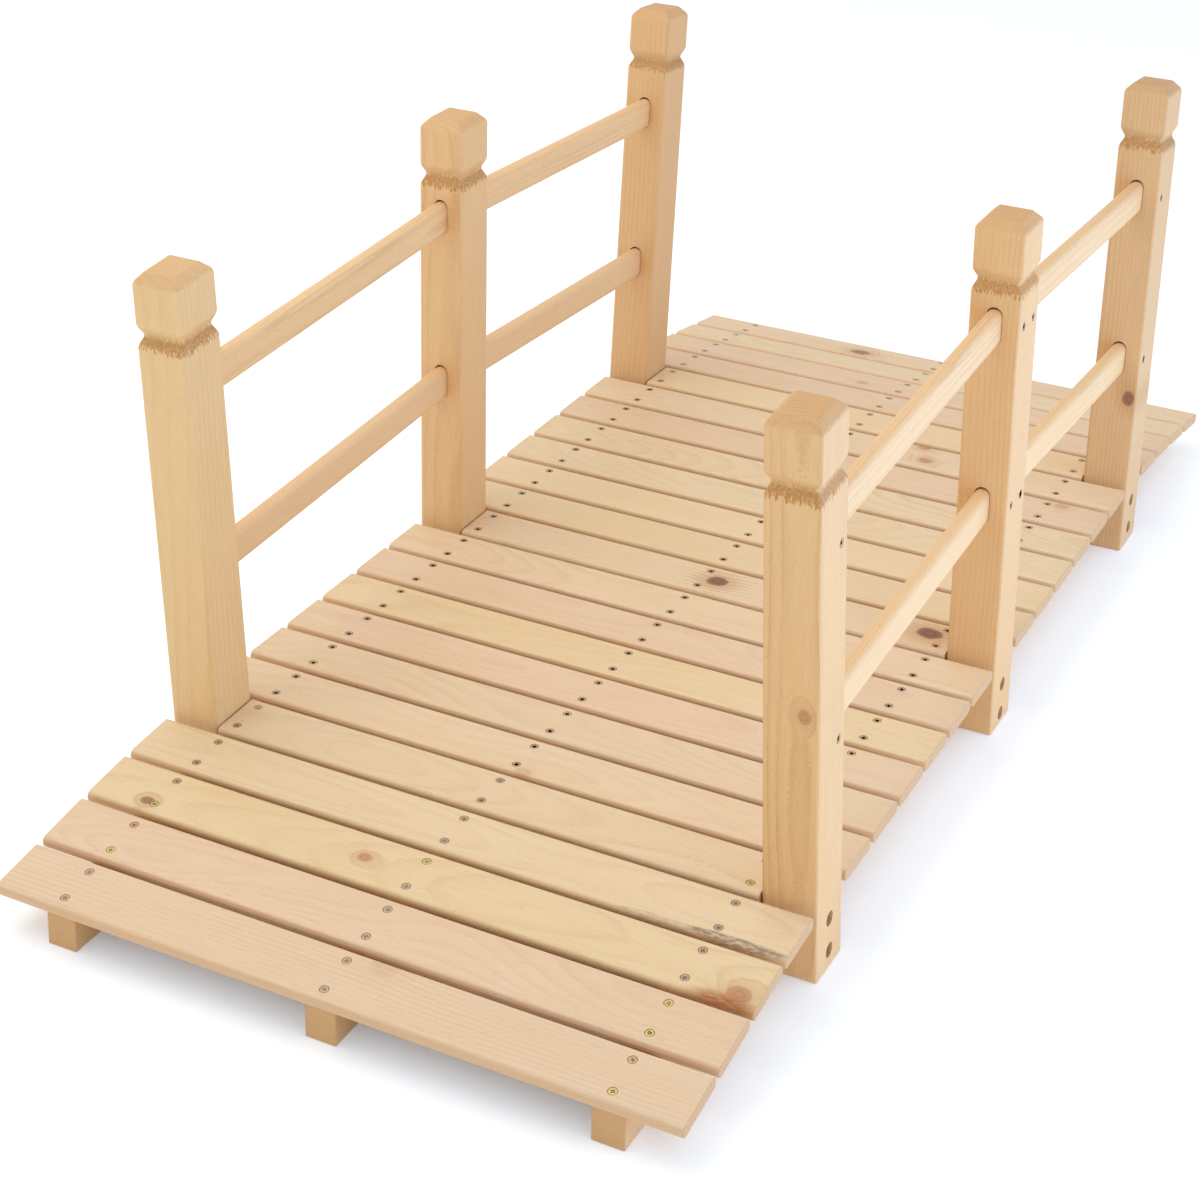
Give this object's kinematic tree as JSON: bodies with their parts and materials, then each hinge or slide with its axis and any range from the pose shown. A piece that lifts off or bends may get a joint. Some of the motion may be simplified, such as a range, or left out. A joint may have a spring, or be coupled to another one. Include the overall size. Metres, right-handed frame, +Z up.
{
  "type": "wooden garden footbridge",
  "caption": "Small low garden footbridge of planed pine: plank deck ramping down at both ends, posts with shaped heads and two rails on each side.",
  "frame": {"origin": "middle of the footprint, on the ground that the stringers and posts stand on", "axes": "+X along the bridge towards its far end, +Y across it towards the left rail, +Z up"},
  "size_m": [1.5022, 0.66, 0.5435],
  "materials": {
    "deck_pine": "planed",
    "stringer_pine": "planed",
    "post_pine": "planed",
    "rail_pine": "planed",
    "zinc_bolt": "yellow zinc plated"
  },
  "bodies": {
    "root": {"deck_plank_01": "deck_pine", "deck_plank_02": "deck_pine", "deck_plank_03": "deck_pine", "deck_plank_04": "deck_pine", "deck_plank_05": "deck_pine", "deck_plank_06": "deck_pine", "deck_plank_07": "deck_pine", "deck_plank_08": "deck_pine", "deck_plank_09": "deck_pine", "deck_plank_10": "deck_pine", "deck_plank_11": "deck_pine", "deck_plank_12": "deck_pine", "deck_plank_13": "deck_pine", "deck_plank_14": "deck_pine", "deck_plank_15": "deck_pine", "deck_plank_16": "deck_pine", "deck_plank_17": "deck_pine", "deck_plank_18": "deck_pine", "deck_plank_19": "deck_pine", "deck_plank_20": "deck_pine", "deck_plank_21": "deck_pine", "deck_plank_22": "deck_pine", "deck_plank_23": "deck_pine", "stringer_left": "stringer_pine", "stringer_middle": "stringer_pine", "stringer_right": "stringer_pine", "post_near_left": "post_pine", "post_near_right": "post_pine", "post_middle_left": "post_pine", "post_middle_right": "post_pine", "post_far_left": "post_pine", "post_far_right": "post_pine", "rail_top_near_left": "rail_pine", "rail_top_near_right": "rail_pine", "rail_top_far_left": "rail_pine", "rail_top_far_right": "rail_pine", "rail_lower_near_left": "rail_pine", "rail_lower_near_right": "rail_pine", "rail_lower_far_left": "rail_pine", "rail_lower_far_right": "rail_pine", "bolts_left": "zinc_bolt", "bolts_right": "zinc_bolt"}
  },
  "joints": []
}
